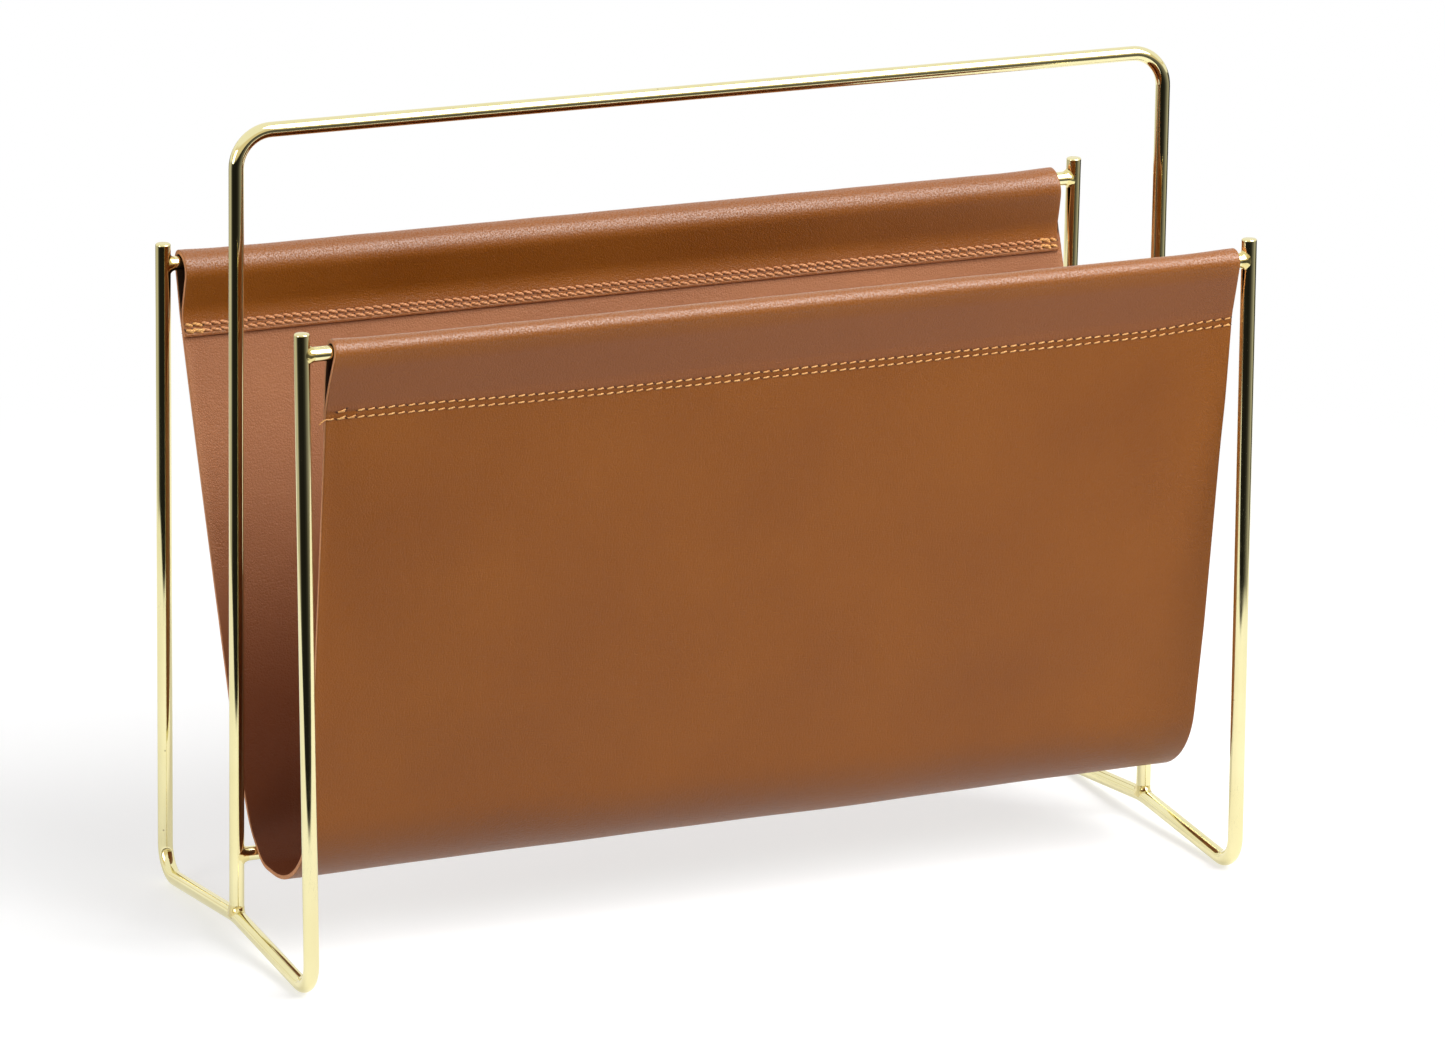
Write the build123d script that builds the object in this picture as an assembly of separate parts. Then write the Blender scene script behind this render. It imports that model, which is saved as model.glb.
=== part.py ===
from build123d import *
import os
from math import acos, atan2, cos, degrees, hypot, radians, sin, tan

# Sling magazine rack. A soft leather sheet hangs between two wire rods, in a welded wire frame
# with a tall carrying hoop. Lengths are in mm and angles in degrees.
# The origin is on the floor, under the middle of the rack. +X runs along the rods, -Y is the front.

right_angle = 90.0

# Wire stock, as diameters
leg_wire = 6.4
hoop_wire = 6.2
rod_wire = 6.0

# Frame
frame_length = 420.0  # between the centrelines of the two end frames
leg_height = 275.7  # floor to the cut tops of the legs
leg_lean = 0.92  # each leg's foot stands this many degrees outwards
leg_end_round = 0.8  # rounding of the cut tops
base_slope = 5.0  # the base bars rise towards their middle, so only the corners stand
corner_bend = 12.0  # centreline radius where a leg turns into the base bar
middle_bend = 60.0  # centreline radius of the kink in the middle of a base bar
hoop_height = 339.1  # floor to the centreline of the grip bar
hoop_bend = 15.0  # centreline radius of the hoop's two shoulders
top_rod_spacing = 160.0  # between the centrelines of the two top rods
top_rod_drop = 9.0  # leg tops to the centrelines of the top rods
bottom_rod_height = 35.6
rod_weld = 1.6  # fillet size of the welds at the rods' ends
foot_weld = 2.0  # fillet size of the welds under the hoop
weld_skin = 0.05  # thickness to which the weld metal thins out

# Leather sling: the points below lie on the middle of the sheet's thickness
leather = 1.8
sling_play = 2.9  # how far the sling slides along its rods, each way
stop_clearance = 0.25  # left between a hem and the weld metal at the end of that slide
loop_clearance = 0.3  # round the top rods, and above the bottom rod
seam_drop = 22.0  # top rods to the point where a hem's two layers meet
flap_drop = 32.7  # top rods to the cut edge of the folded flap
front_seam_inset = 1.4  # from the plane of the top rod towards the pocket
rear_seam_inset = 0.7
front_bend_depth = 63.9  # slight bend in the front panel, in front of the bottom rod
front_bend_rise = 70.4  # and above it
belly_depth = 53.5  # front lower corner of the pocket, in front of the bottom rod
belly_drop = 2.2  # floor of the pocket, below the bottom rod's centre
rest_angle = 42.0  # slope of the sheet where it rests on the bottom rod
rest_run = 10.2  # length of that slope, up from the rod
rear_bend_depth = 23.2  # slight bend in the rear panel, behind the bottom rod
rear_bend_rise = 46.7  # and above it
panel_radius = 150.0  # the two slight bends
belly_radius = 37.0
rest_radius = 14.0
heel_radius = 30.0

# Stitching: two rows along each hem, seen on both faces of the leather
row_drops = {"upper": 24.6, "lower": 28.1}  # top rods to the rows
thread = 0.8
stitch_pitch = 4.5
stitch_length = 3.3
stitch_margin = 2.0  # least distance from the rows' ends to the edges of the sheet


def wire_along(path, diameter):
    """Round wire bent along a path, cut square at both ends."""
    section = Plane(path @ 0, z_dir=path % 0) * Circle(diameter / 2)
    return sweep(section, path=path)


def weld(bar, branch, plane, bar_wire, branch_wire, size):
    """The weld metal in the corner where a branch stands on a bar.

    The plane's origin is where their centrelines meet, its X runs out along the branch, and its
    Z across both wires."""
    toe = branch_wire / 2 + weld_skin
    flare = bar_wire / 2 + weld_skin
    outline = Polyline((flare + size, toe), (flare + size, 0), (0, 0), (0, toe + size), (flare, toe + size))
    hollow = ThreePointArc(
        (flare, toe + size),
        (flare + size * (1 - cos(radians(45))), toe + size * (1 - cos(radians(45)))),
        (flare + size, toe),
    )
    collar = revolve(make_face(outline + hollow), Axis.X)
    reach = 2 * (flare + toe + size)
    between = Box(reach, reach, 2 * toe)
    return plane * (collar & between) - bar - branch


# Frame geometry
half_length = frame_length / 2
rod_y = top_rod_spacing / 2
rod_z = leg_height - top_rod_drop
half_corner = (right_angle - leg_lean - base_slope) / 2
corner_lift = corner_bend * (sin(radians(base_slope + half_corner)) / sin(radians(half_corner)) - 1)
corner_z = leg_wire / 2 - corner_lift  # sharp corner of the centreline, so that its bend meets the floor
foot_y = rod_y + (rod_z - corner_z) * tan(radians(leg_lean))
leg_top_y = rod_y - top_rod_drop * tan(radians(leg_lean))
apex_z = corner_z + foot_y * tan(radians(base_slope))
base_middle_z = apex_z - middle_bend * (1 / cos(radians(base_slope)) - 1)


def end_frame(side):
    """Two legs and the arched base bar between them, bent from one wire."""
    x = side * half_length
    path = FilletPolyline(
        (x, -leg_top_y, leg_height),
        (x, -foot_y, corner_z),
        (x, 0, apex_z),
        (x, foot_y, corner_z),
        (x, leg_top_y, leg_height),
        radius=[corner_bend, middle_bend, corner_bend],
    )
    wire = wire_along(path, leg_wire)
    tops = wire.edges().group_by(Axis.Z)[-1]
    return fillet(tops, leg_end_round)


def cross_rod(y, z):
    """A straight rod from one end of the rack to the other."""
    return Pos(0, y, z) * Rot(0, right_angle, 0) * Cylinder(rod_wire / 2, frame_length)


left_end, right_end = end_frame(-1), end_frame(1)
ends = ((-1, left_end), (1, right_end))

# The hoop and the rods reach the middle of what carries them, and are then cut to its shape
hoop_path = FilletPolyline(
    (-half_length, 0, base_middle_z),
    (-half_length, 0, hoop_height),
    (half_length, 0, hoop_height),
    (half_length, 0, base_middle_z),
    radius=[hoop_bend, hoop_bend],
)
long_hoop = wire_along(hoop_path, hoop_wire)
long_front_rod = cross_rod(-rod_y, rod_z)
long_rear_rod = cross_rod(rod_y, rod_z)
long_bottom_rod = cross_rod(0, bottom_rod_height)


def rod_end(side, y, z):
    """Where a cross rod meets what carries it, looking along the rod towards the middle."""
    return Plane((side * half_length, y, z), x_dir=(-side, 0, 0), z_dir=(0, 1, 0))


def rod_welds(y, rod):
    return [weld(end, rod, rod_end(side, y, rod_z), leg_wire, rod_wire, rod_weld) for side, end in ends]


def bottom_weld(side):
    spot = rod_end(side, 0, bottom_rod_height)
    return weld(long_hoop, long_bottom_rod, spot, hoop_wire, rod_wire, rod_weld)


def foot_weld_at(side, end):
    spot = Plane((side * half_length, 0, base_middle_z), x_dir=(0, 0, 1), z_dir=(1, 0, 0))
    return weld(end, long_hoop, spot, leg_wire, hoop_wire, foot_weld)


# Sling profile, drawn with Y across and Z up
def tangent_point(centre, radius, point, turn):
    """Where a line from a point touches a circle, on its left (1) or right (-1) side."""
    away = point - centre
    angle = turn * degrees(acos(radius / away.length))
    return centre + away.normalized().rotate(Axis.Z, angle) * radius


def disc(centre, radius):
    return Pos(*centre) * Circle(radius)


end_gap = rod_weld + weld_skin + sling_play + stop_clearance  # from the sheet's edge to an end frame
sling_width = frame_length - leg_wire - 2 * end_gap


class Hem:
    """One edge of the sheet: round its rod, folded to the inside and sewn down."""

    def __init__(self, side, inset, panel_point):
        # side is -1 at the front and 1 at the rear
        self.side = side
        self.rod = Vector(side * rod_y, rod_z)
        self.seam = Vector(side * (rod_y - inset), rod_z - seam_drop)
        self.down = (panel_point - self.seam).normalized()
        self.inward = Vector(-self.down.Y, self.down.X) * -side

    def on_sheet(self, drop, layers):
        """A point this far below the rod and this many leather layers in from the sheet's middle."""
        along = (drop - seam_drop) / -self.down.Y
        return self.seam + self.down * along + self.inward * (layers * leather)

    def loop(self):
        """The teardrop loop, from the seam up round the rod."""
        outside, inside = self.on_sheet(seam_drop, -0.5), self.on_sheet(seam_drop, 1.5)
        between = self.on_sheet(seam_drop, 0.5)
        hollow = rod_wire / 2 + loop_clearance
        shape = self.teardrop(hollow + leather, outside, inside)
        return shape - self.teardrop(hollow, between, between)

    def teardrop(self, radius, outside, inside):
        touch_out = tangent_point(self.rod, radius, outside, self.side)
        touch_in = tangent_point(self.rod, radius, inside, -self.side)
        corners = [touch_out, outside, inside, touch_in]
        if outside == inside:
            corners.pop(1)
        return disc(self.rod, radius) + make_face(Polyline(*corners, close=True))

    def flap(self):
        """The second layer, from the seam down to its cut edge."""
        top_out, top_in = self.on_sheet(seam_drop, 0.5), self.on_sheet(seam_drop, 1.5)
        fall = self.down * (flap_drop - seam_drop)
        return make_face(Polyline(top_out, top_in, top_in + fall, top_out + fall, close=True))


front_bend = Vector(-front_bend_depth, bottom_rod_height + front_bend_rise)
rear_bend = Vector(rear_bend_depth, bottom_rod_height + rear_bend_rise)
front_hem = Hem(-1, front_seam_inset, front_bend)
rear_hem = Hem(1, rear_seam_inset, rear_bend)

# The sheet touches down on the bottom rod along a slope, between the pocket's floor and the rear panel
slope = Vector(cos(radians(rest_angle)), sin(radians(rest_angle)))
rest_reach = rod_wire / 2 + loop_clearance + leather / 2
rest_point = Vector(0, bottom_rod_height) + Vector(-slope.Y, slope.X) * rest_reach
belly_z = bottom_rod_height - belly_drop
toe = rest_point - slope * ((rest_point.Y - belly_z) / slope.Y)
heel = rest_point + slope * rest_run

sheet_line = FilletPolyline(
    front_hem.seam,
    front_bend,
    Vector(-belly_depth, belly_z),
    toe,
    heel,
    rear_bend,
    rear_hem.seam,
    radius=[panel_radius, belly_radius, rest_radius, heel_radius, panel_radius],
)
profile = trace(sheet_line, leather)
for hem in (front_hem, rear_hem):
    profile += hem.loop()
    profile += hem.flap()
sling = extrude(Plane.YZ.offset(-sling_width / 2) * profile, sling_width)


# Stitching
stitch_count = int((sling_width - 2 * stitch_margin - stitch_length) / stitch_pitch) + 1
stitch_places = [(i - (stitch_count - 1) / 2) * stitch_pitch for i in range(stitch_count)]
upright_stitch = Rot(0, right_angle, 0) * Cylinder(thread / 2, stitch_length)
half_stitch = upright_stitch & Box(
    stitch_length, thread, thread / 2, align=(Align.CENTER, Align.CENTER, Align.MIN)
)


def stitch_row(hem, drop):
    """One row of half-round stitches, lying on the outer and on the inner face of a hem."""
    stitches = []
    for layers, facing in ((-0.5, -1), (1.5, 1)):
        spot = hem.on_sheet(drop, layers)
        normal = hem.inward * facing
        face = Plane((0, spot.X, spot.Y), x_dir=(1, 0, 0), z_dir=(0, normal.X, normal.Y))
        stitches += [face * Pos(place, 0, 0) * half_stitch for place in stitch_places]
    return stitches


nodes = {
    "left_end_frame": left_end,
    "right_end_frame": right_end,
    "carrying_hoop": long_hoop - left_end - right_end,
    "front_top_rod": long_front_rod - left_end - right_end,
    "rear_top_rod": long_rear_rod - left_end - right_end,
    "bottom_rod": long_bottom_rod - long_hoop,
    "leather_sling": sling,
    "front_rod_welds": rod_welds(-rod_y, long_front_rod),
    "rear_rod_welds": rod_welds(rod_y, long_rear_rod),
    "bottom_rod_welds": [bottom_weld(side) for side, end in ends],
    "hoop_foot_welds": [foot_weld_at(side, end) for side, end in ends],
}
for hem_name, hem in (("front", front_hem), ("rear", rear_hem)):
    for row, drop in row_drops.items():
        nodes[f"{hem_name}_{row}_stitches"] = stitch_row(hem, drop)


def solids_of(shape):
    """One solid, or a group of all the solids in a list of shapes."""
    pieces = shape if isinstance(shape, list) else [shape]
    solids = [solid for piece in pieces for solid in piece.solids()]
    return solids[0] if len(solids) == 1 else Compound(children=solids)


os.makedirs("parts", exist_ok=True)
for name, shape in nodes.items():
    export_step(solids_of(shape), f"parts/{name}.step")
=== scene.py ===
from math import asin, atan2, ceil, copysign, cos, exp, pi, radians, sin, tan

import bmesh
import bpy
from mathutils import Matrix, Vector, noise


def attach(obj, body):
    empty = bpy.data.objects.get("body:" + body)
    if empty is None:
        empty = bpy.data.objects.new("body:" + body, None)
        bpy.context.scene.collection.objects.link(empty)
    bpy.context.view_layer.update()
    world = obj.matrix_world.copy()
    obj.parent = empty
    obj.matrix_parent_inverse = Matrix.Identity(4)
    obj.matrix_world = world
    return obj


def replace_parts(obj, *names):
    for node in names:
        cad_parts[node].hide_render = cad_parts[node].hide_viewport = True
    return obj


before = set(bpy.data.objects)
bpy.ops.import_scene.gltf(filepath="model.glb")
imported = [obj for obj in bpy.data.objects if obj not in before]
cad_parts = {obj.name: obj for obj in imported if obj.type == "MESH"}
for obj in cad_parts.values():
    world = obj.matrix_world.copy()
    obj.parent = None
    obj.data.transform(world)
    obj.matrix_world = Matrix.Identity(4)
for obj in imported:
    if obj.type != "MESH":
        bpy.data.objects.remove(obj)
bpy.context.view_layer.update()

# Sling magazine rack: a leather sheet sewn round two top rods and resting on a third, in a frame of
# brass-plated wire. Everything is in metres; +X runs along the rods, -Y is the front, the floor is z = 0.
MM = 0.001

# Wire stock, as diameters
LEG_WIRE = 6.4 * MM
HOOP_WIRE = 6.2 * MM
ROD_WIRE = 6.0 * MM
WIRE_SIDES = 40
CREASE = radians(48)

# Frame
HALF_LENGTH = 210.0 * MM
LEG_HEIGHT = 275.7 * MM
LEG_LEAN = radians(0.92)
LEG_END_ROUND = 0.8 * MM
BASE_SLOPE = radians(5.0)
CORNER_BEND = 12.0 * MM
MIDDLE_BEND = 60.0 * MM
HOOP_HEIGHT = 339.1 * MM
HOOP_BEND = 15.0 * MM
# how far the tops of two wires lean along X, as the frame was set by hand
HOOP_LEFT_SET = 2.1 * MM
FRONT_LEFT_SET = -1.4 * MM
ENDS = (-1, 1)
ROD_Y = 80.0 * MM
ROD_Z = LEG_HEIGHT - 9.0 * MM
BOTTOM_ROD_Z = 35.6 * MM

# Weld metal: how far it runs along the carrier wire and stands out at its sides
ROD_WELD = (1.7 * MM, 0.12 * MM)
FOOT_WELD = (2.1 * MM, 0.15 * MM)
WELD_SIDES = 32
WELD_RINGS = 8
WELD_TUCK = 0.03 * MM
WELD_SINK = 0.12 * MM

# Leather sheet, by the middle of its thickness
LEATHER = 1.8 * MM
SHEET_WIDTH = 404.0 * MM
LOOP_RADIUS = ROD_WIRE / 2 + 0.3 * MM + LEATHER / 2
REAR_LOOP_FRONT = 7.4 * MM
SEAM_DROP = 22.0 * MM
FLAP_DROPS = {"front": 32.7 * MM, "rear": 30.9 * MM}
# each seam's rows: how far below the rod they start, and how much they wander down mid-width
ROW_DROPS = {
    ("front", "upper"): (24.4 * MM, 2.2 * MM),
    ("front", "lower"): (27.6 * MM, 1.5 * MM),
    ("rear", "upper"): (26.4 * MM, 0.4 * MM),
    ("rear", "lower"): (28.9 * MM, 0.3 * MM),
}
FRONT_SEAM = Vector((-78.6 * MM, ROD_Z - SEAM_DROP))
REAR_SEAM = Vector((79.3 * MM, ROD_Z - SEAM_DROP))
FRONT_BEND = Vector((-63.9 * MM, BOTTOM_ROD_Z + 70.4 * MM))
REAR_BEND = Vector((23.2 * MM, BOTTOM_ROD_Z + 46.7 * MM))
BELLY_CORNER = Vector((-53.5 * MM, BOTTOM_ROD_Z - 2.2 * MM))
REST_SLOPE = radians(42.0)
REST_RUN = 10.2 * MM
SEAM_BEND = 14 * MM
PANEL_BEND = 150 * MM

# Unevenness of the sheet: how far its hems and panels run out along X, how far that reaches from a roll
# and from an end, and how much the rolls, the seams and the flap's edge stand out or pull in
ASKEW = 1.0 * MM
FRONT_RUN_OUT = (1.9 * MM, 0.1 * MM)
REAR_RUN_OUT = (0.1 * MM, 1.6 * MM)
PANEL_RUN_OUTS = {"front": 0.4 * MM, "rear": 1.9 * MM}
PANEL_RUN_OUT_DROP = 45 * MM
ROLL_REACH = 17 * MM
END_REACH = 14 * MM
HELD_REACH = 60 * MM
LOOSE_END = 0.35 * MM
ROLL_PULL = 0.3 * MM
STITCH_PULL = 0.16 * MM
TIP_CURL = 0.35 * MM
EDGE_ROUND = 0.3 * MM
TINY = 1e-9

# Thread: how long its stitches are, and its radius
OUTER_STITCH = 3.5 * MM
OUTER_THREAD = 0.35 * MM
INNER_STITCH = 4.9 * MM
INNER_THREAD = 0.68 * MM
STITCH_COUNTS = {"front": 94, "rear": 101}
ROW_INSET = 2.1 * MM
STITCH_SLANT = radians(9.5)
THREAD_SLOT, HOLE_SLOT, BOBBIN_SLOT = 0, 1, 2
TAIL_THREAD = 0.3 * MM
TAIL_STEPS = 10


# --- Mesh tools ---


def extend(bm, rim, move):
    """Extrudes a rim of edges and moves the new one. Returns the new rim's edges."""
    made = bmesh.ops.extrude_edge_only(bm, edges=rim)["geom"]
    verts = [part for part in made if isinstance(part, bmesh.types.BMVert)]
    bmesh.ops.transform(bm, matrix=move, verts=verts)
    ends = set(verts)
    return [e for e in made if isinstance(e, bmesh.types.BMEdge) and ends.issuperset(e.verts)]


def face_outwards(bm):
    bmesh.ops.recalc_face_normals(bm, faces=bm.faces[:])


moved = Matrix.Translation


def turn_about(centre, axis, angle):
    return moved(centre) @ Matrix.Rotation(angle, 4, axis) @ moved(-centre)


def clamped(value):
    return min(1, max(0, value))


def smooth(value):
    """Eases from 0 to 1 as the value does."""
    share = clamped(value)
    return (3 - 2 * share) * share ** 2


def bell(distance, width):
    return exp(-((distance / width) ** 2))


def to_mesh(name, bm):
    mesh = bpy.data.meshes.new(name)
    bm.to_mesh(mesh)
    bm.free()
    return mesh


def to_scene(name, data):
    made = bpy.data.objects.new(name, data)
    bpy.context.scene.collection.objects.link(made)
    return made


def facing(x_axis, y_axis, z_axis):
    return Matrix((x_axis, y_axis, z_axis)).transposed().to_4x4()


def finished(name, bm, body, slot, *materials):
    """Makes the piece from its mesh: smooth faces, sharp creases, its finishes and its body."""
    for face in bm.faces:
        face.smooth = True
    for edge in bm.edges:
        edge.smooth = len(edge.link_faces) != 2 or edge.calc_face_angle() < CREASE
    piece = to_scene(name, to_mesh(name, bm))
    for material in materials:
        piece.data.materials.append(material)
    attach(piece, body)
    return piece


# --- Shader tools ---


def add(tree, kind, feeds=(), **settings):
    """A node with its settings, and what feeds its inputs: plain values or other nodes' outputs."""
    node = tree.nodes.new("ShaderNode" + kind)
    for key, value in settings.items():
        setattr(node, key, value)
    for socket, source in dict(feeds).items():
        if isinstance(source, bpy.types.NodeSocket):
            tree.links.new(source, node.inputs[socket])
        else:
            node.inputs[socket].default_value = source
    return node


def new_effect(name, amounts, results):
    """A shader node group that takes a place and named amounts. Returns it with its two end nodes."""
    effect = bpy.data.node_groups.new(name, "ShaderNodeTree")
    add_socket = effect.interface.new_socket
    add_socket(name="Vector", in_out="INPUT", socket_type="NodeSocketVector")
    for label, value in amounts.items():
        add_socket(name=label, in_out="INPUT", socket_type="NodeSocketFloat").default_value = value
    for label in results:
        add_socket(name=label, in_out="OUTPUT", socket_type="NodeSocketFloat")
    return effect, effect.nodes.new("NodeGroupInput"), effect.nodes.new("NodeGroupOutput")


def give_out(effect, result, *sources):
    """Links what the effect gives out, in the order of its results. Returns the effect."""
    for source, socket in zip(sources, result.inputs):
        effect.links.new(source, socket)
    return effect


def place_effect(tree, effect, feeds):
    return add(tree, "Group", feeds, node_tree=effect)


def blend_colours(tree, share, first, second):
    return add(tree, "Mix", {0: share, 6: first, 7: second}, data_type="RGBA").outputs[2]


def remap(tree, source, low, high, to_low=0.0, to_high=1.0, how="SMOOTHSTEP"):
    feeds = {"Value": source, "From Min": low, "From Max": high, "To Min": to_low, "To Max": to_high}
    return add(tree, "MapRange", feeds, interpolation_type=how).outputs["Result"]


def calc(tree, how, first, second=0.0):
    return add(tree, "Math", {0: first, 1: second}, operation=how).outputs[0]


def plus(tree, first, second):
    return calc(tree, "ADD", first, second)


def minus(tree, first, second):
    return calc(tree, "SUBTRACT", first, second)


def times(tree, first, second):
    return calc(tree, "MULTIPLY", first, second)


def clamp(tree, source):
    return add(tree, "Clamp", {"Value": source}).outputs[0]


def grit(tree, where, scale, detail=2.0):
    """A noise of this many spots a metre."""
    return add(tree, "TexNoise", {"Vector": where, "Scale": scale, "Detail": detail}).outputs[0]


def on_object(tree):
    return add(tree, "TexCoord").outputs["Object"]


def put_colour(tree, shader, tone):
    tree.links.new(tone, shader.inputs["Base Color"])


def put_relief(tree, shader, height, strength, distance):
    bump = add(tree, "Bump", {"Height": height, "Strength": strength, "Distance": distance})
    tree.links.new(bump.outputs[0], shader.inputs["Normal"])


def new_finish(name, colour, **surface):
    """A material with its Principled surface set to plain values. Returns it, its tree and the surface."""
    material = bpy.data.materials.new(name)
    material.use_nodes = True
    material.diffuse_color = colour
    shader = material.node_tree.nodes["Principled BSDF"]
    shader.inputs["Base Color"].default_value = colour
    for label, value in surface.items():
        shader.inputs[label.replace("_", " ")].default_value = value
    return material, material.node_tree, shader


# --- Shared effects ---


def mottling_effect():
    """Slow, cloudy unevenness, as in dye, polish or spun thread."""
    effect, given, result = new_effect("mottling", {"Scale": 20.0, "Contrast": 1.0}, ["Share"])
    where, scale, contrast = given.outputs[:3]
    spread = times(effect, minus(effect, grit(effect, where, scale, 3.0), 0.5), contrast)
    return give_out(effect, result, clamp(effect, plus(effect, spread, 0.5)))


def fine_marks_effect():
    """Hairline scratches, faint smudges and a few pinholes in a polished skin."""
    amounts = {"Scratches": 1.0, "Pinholes": 1.0}
    effect, given, result = new_effect("fine_marks", amounts, ["Roughness", "Height", "Marks"])
    where, scratches, pinholes = given.outputs[:3]
    smudges = remap(effect, grit(effect, where, 55.0), 0.5, 0.66)
    drawn_out = add(effect, "VectorMath", {0: where, 1: (1.0, 1.0, 0.06)}, operation="MULTIPLY")
    hairlines = remap(effect, grit(effect, drawn_out.outputs[0], 5200.0), 0.62, 0.74)
    scratches = times(effect, times(effect, hairlines, smudges), scratches)
    cells = add(effect, "TexVoronoi", {"Vector": where, "Scale": 70.0}).outputs["Distance"]
    pinholes = times(effect, remap(effect, cells, 0.035, 0.02), pinholes)
    marks = calc(effect, "MAXIMUM", scratches, pinholes)
    depth = times(effect, marks, 0.12)
    height = minus(effect, grit(effect, where, 30.0, 1.0), depth)
    rough = plus(effect, times(effect, smudges, 0.035), depth)
    return give_out(effect, result, rough, height, marks)


def grain_effect():
    """Leather grain: small rounded pebbles parted by fine creases, with pores."""
    amounts = {"Pebbles": 900.0, "Creases": 1.0, "Pores": 1.0}
    effect, given, result = new_effect("leather_grain", amounts, ["Height", "Shade"])
    where, pebbles, creases, pores = given.outputs[:4]
    warp = add(effect, "TexNoise", {"Vector": where, "Scale": 400.0, "Detail": 2.0}).outputs[1]
    shifted = add(effect, "VectorMath", {0: warp, 1: (0.0011, 0.0011, 0.0)}, operation="MULTIPLY")
    bent = add(effect, "VectorMath", {0: where, 1: shifted.outputs[0]}, operation="ADD")
    cells = {"Vector": bent.outputs[0], "Scale": pebbles}
    pebble = add(effect, "TexVoronoi", {**cells, "Smoothness": 0.6}, feature="SMOOTH_F1")
    crease = add(effect, "TexVoronoi", cells, feature="DISTANCE_TO_EDGE")
    valley = times(effect, remap(effect, crease.outputs["Distance"], 0.16, 0.0), creases)
    pits = times(effect, remap(effect, grit(effect, where, 3200.0, 1.0), 0.66, 0.76), pores)
    dome = minus(effect, 1.0, pebble.outputs["Distance"])
    height = minus(effect, minus(effect, dome, valley), pits)
    shade = clamp(effect, plus(effect, times(effect, valley, 0.6), times(effect, pits, 0.5)))
    return give_out(effect, result, height, shade)


mottling = mottling_effect()
fine_marks = fine_marks_effect()
leather_grain = grain_effect()


# --- Finishes ---


def colour(red, green, blue):
    """A display colour, 0 to 255 a channel, as the linear value that Blender takes."""
    channels = [c / 255 for c in (red, green, blue)]
    return (*[c / 12.92 if c < 0.04045 else ((c + 0.055) / 1.055) ** 2.4 for c in channels], 1.0)


def mottled(tree, where, scale, contrast):
    feeds = {"Vector": where, "Scale": scale, "Contrast": contrast}
    return place_effect(tree, mottling, feeds).outputs[0]


def wear_or_painted_light(tree, kind):
    """How strongly a worn tone, the gloss, painted shade or painted sheen shows, from the sheet's own
    attribute of that name.
    """
    return add(tree, "Attribute", attribute_name=kind).outputs["Fac"]


def brass(name, bright, deep, roughness, ripple, scratches):
    """Polished pale brass plating over steel wire."""
    material, tree, shader = new_finish(name, bright, Metallic=1.0, Roughness=roughness)
    where = on_object(tree)
    feeds = {"Vector": where, "Scratches": scratches, "Pinholes": 1.0}
    marks = place_effect(tree, fine_marks, feeds).outputs
    tone = blend_colours(tree, mottled(tree, where, 24.0, 2.2), bright, deep)
    put_colour(tree, shader, blend_colours(tree, times(tree, marks["Marks"], 0.5), tone, SCRATCH_TONE))
    tree.links.new(plus(tree, marks["Roughness"], roughness), shader.inputs["Roughness"])
    put_relief(tree, shader, marks["Height"], ripple, 0.0004)
    return material


def leather(name, tan_tone, dark_tone, worn_tone, loop_shade_tone, roughness, pebbles, creases, depth):
    """One face of the sheet. Its pattern lies on the flat cut, so it follows every bend."""
    material, tree, shader = new_finish(name, tan_tone, Roughness=roughness)
    shader.inputs["Specular IOR Level"].default_value = 0.4
    shader.inputs["Specular Tint"].default_value = (1.0, 0.93, 0.85, 1.0)
    shader.inputs["Coat Roughness"].default_value = 0.37
    where = add(tree, "UVMap", uv_map="flat_cut").outputs[0]
    feeds = {"Vector": where, "Pebbles": pebbles, "Creases": creases, "Pores": 0.7}
    grain = place_effect(tree, leather_grain, feeds).outputs
    cloud = mottled(tree, where, 14.0, 1.7)
    fleck = mottled(tree, where, 420.0, 1.3)
    tone = blend_colours(tree, cloud, tan_tone, dark_tone)
    tone = blend_colours(tree, times(tree, fleck, 0.22), tone, dark_tone)
    tone = blend_colours(tree, times(tree, grain["Shade"], 0.30), tone, dark_tone)
    tone = blend_colours(tree, times(tree, wear_or_painted_light(tree, "rubbed"), 0.55), tone, worn_tone)
    if loop_shade_tone:
        # painted shade: the flesh side darkens towards the pocket's bottom, where shade falls
        tone = blend_colours(tree, wear_or_painted_light(tree, "pocket"), tone, POCKET_SHADE_TONE)
        # painted shade: the flesh side turns near black inside the loops, between the seams, where shade
        # falls
        tone = blend_colours(tree, wear_or_painted_light(tree, "painted_loop_shade"), tone, loop_shade_tone)
    # painted sheen: the front hem above its seam is painted greyer, for the reflection it catches
    tone = blend_colours(tree, times(tree, wear_or_painted_light(tree, "painted_hem_sheen"), 0.5), tone, HEM_SHEEN_TONE)
    # painted shade: darker along the stitch rows, where shade falls round the stitches
    tone = blend_colours(tree, times(tree, wear_or_painted_light(tree, "painted_seam_shade"), 0.45), tone, SEAM_SHADE_TONE)
    put_colour(tree, shader, tone)
    # polish lies on the high spots of the grain alone
    high_spots = remap(tree, grit(tree, where, 1300.0), 0.43, 0.57, 0.25, 1.45)
    glints = minus(tree, high_spots, grain["Shade"])
    coat = clamp(tree, times(tree, wear_or_painted_light(tree, "polished"), glints))
    tree.links.new(coat, shader.inputs["Coat Weight"])
    gloss = minus(tree, roughness + 0.05, times(tree, cloud, 0.08))
    tree.links.new(gloss, shader.inputs["Roughness"])
    put_relief(tree, shader, grain["Height"], 0.9, depth)
    return material


def cut_leather_edge():
    """The raw, lightly burnished edge of the cut sheet, with its fibres showing."""
    pale = colour(238, 174, 126)
    material, tree, shader = new_finish("leather_cut_edge", pale, Roughness=0.62)
    where = on_object(tree)
    fibres = mottled(tree, where, 1500.0, 2.0)
    patches = times(tree, mottled(tree, where, 60.0, 2.0), 0.5)
    tone = blend_colours(tree, fibres, pale, colour(206, 132, 84))
    put_colour(tree, shader, blend_colours(tree, patches, tone, colour(186, 116, 72)))
    put_relief(tree, shader, fibres, 0.6, 0.0001)
    return material


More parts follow.
